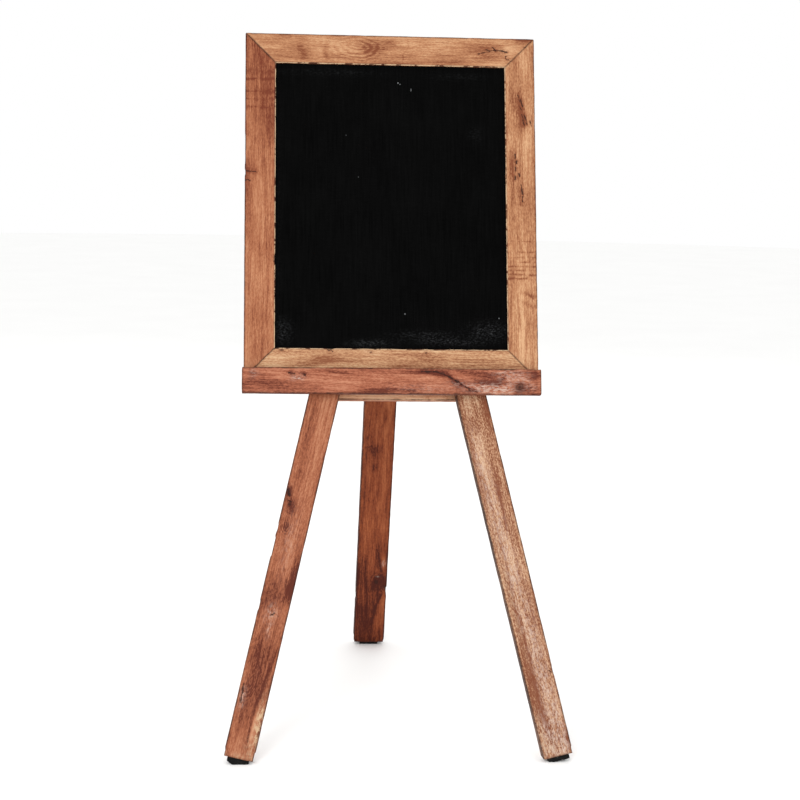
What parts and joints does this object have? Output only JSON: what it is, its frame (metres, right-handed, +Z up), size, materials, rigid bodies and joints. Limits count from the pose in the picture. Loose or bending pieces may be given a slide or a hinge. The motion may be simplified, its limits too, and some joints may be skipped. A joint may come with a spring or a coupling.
{
  "type": "chalkboard easel",
  "caption": "Tall wooden tripod easel with splayed front legs, a hinged rear leg and a lipped ledge that carries a loose, mitre-framed chalkboard.",
  "frame": {"origin": "on the floor, under the middle of the whole object", "axes": "+Z up; -Y is the writing side; +X to the right as seen from the front"},
  "size_m": [0.5918, 0.7857, 1.218],
  "materials": {
    "left_leg_wood": "oiled reddish brown hardwood, scuffed",
    "right_leg_wood": "oiled pale brown hardwood, rubbed bare along its length",
    "rear_leg_wood": "oiled dark reddish brown hardwood",
    "rail_wood": "oiled tan hardwood",
    "ledge_wood": "oiled reddish brown hardwood, scuffed",
    "frame_wood": "oiled light tan hardwood with bare worn edges",
    "chalkboard_paint": "matte black blackboard paint on hardboard",
    "rubber": "matte",
    "hinge_steel": "zinc plated",
    "screw_steel": "yellow zinc plated",
    "nail_steel": "bright steel"
  },
  "bodies": {
    "stand": {"left_front_leg": "left_leg_wood", "right_front_leg": "right_leg_wood", "head_cleat": "rail_wood", "head_cleat_screws": "screw_steel", "cross_rail": "rail_wood", "cross_rail_screws": "screw_steel", "ledge_shelf": "ledge_wood", "ledge_shelf_screws": "screw_steel", "ledge_lip": "ledge_wood", "ledge_lip_nails": "nail_steel", "left_foot_pad": "rubber", "right_foot_pad": "rubber", "front_pad_nails": "nail_steel", "hinge_fixed_leaf": "hinge_steel", "hinge_pin": "hinge_steel", "hinge_fixed_screws": "screw_steel"},
    "rear_leg": {"rear_leg": "rear_leg_wood", "hinge_moving_leaf": "hinge_steel", "hinge_moving_screws": "screw_steel", "rear_foot_pad": "rubber", "rear_pad_nails": "nail_steel"},
    "chalkboard": {"frame_top_rail": "frame_wood", "frame_bottom_rail": "frame_wood", "frame_left_stile": "frame_wood", "frame_right_stile": "frame_wood", "chalk_panel": "chalkboard_paint", "panel_pins": "nail_steel", "mitre_staples": "nail_steel"}
  },
  "joints": [
    {"name": "rear_leg_fold", "type": "hinge", "parent": "stand", "child": "rear_leg", "pos_m": [0, -0.04123, 1.06187], "axis": [-1, 0, 0], "range_deg": [0, 37]},
    {"name": "board_lift", "type": "slide", "parent": "stand", "child": "chalkboard", "axis": [0, 0.2756, 0.9613], "range_m": [0, 0.6]}
  ]
}
